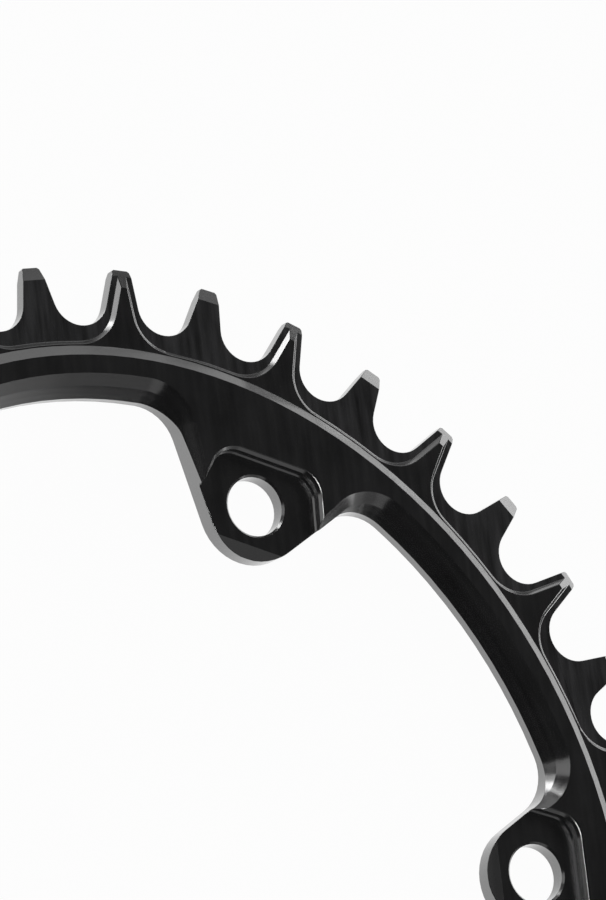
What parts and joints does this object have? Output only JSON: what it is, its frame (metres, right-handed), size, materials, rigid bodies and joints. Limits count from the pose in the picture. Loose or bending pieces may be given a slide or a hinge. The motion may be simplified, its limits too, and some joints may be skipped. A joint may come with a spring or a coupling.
{
  "type": "bicycle chainring",
  "caption": "Oval narrow-wide bicycle chainring milled from one black plate, with bolt tabs round an open middle that fix it to a crank's spider.",
  "frame": {"origin": "centre of the bolt circle, on the back face of the ring", "axes": "+Z out of the front face, the side with the seats for the crank's arms; +X along the long axis of the oval"},
  "size_m": [0.1706, 0.1538, 0.0045],
  "materials": {
    "chainring": "black anodised"
  },
  "bodies": {
    "root": {"chainring": "chainring"}
  },
  "joints": []
}
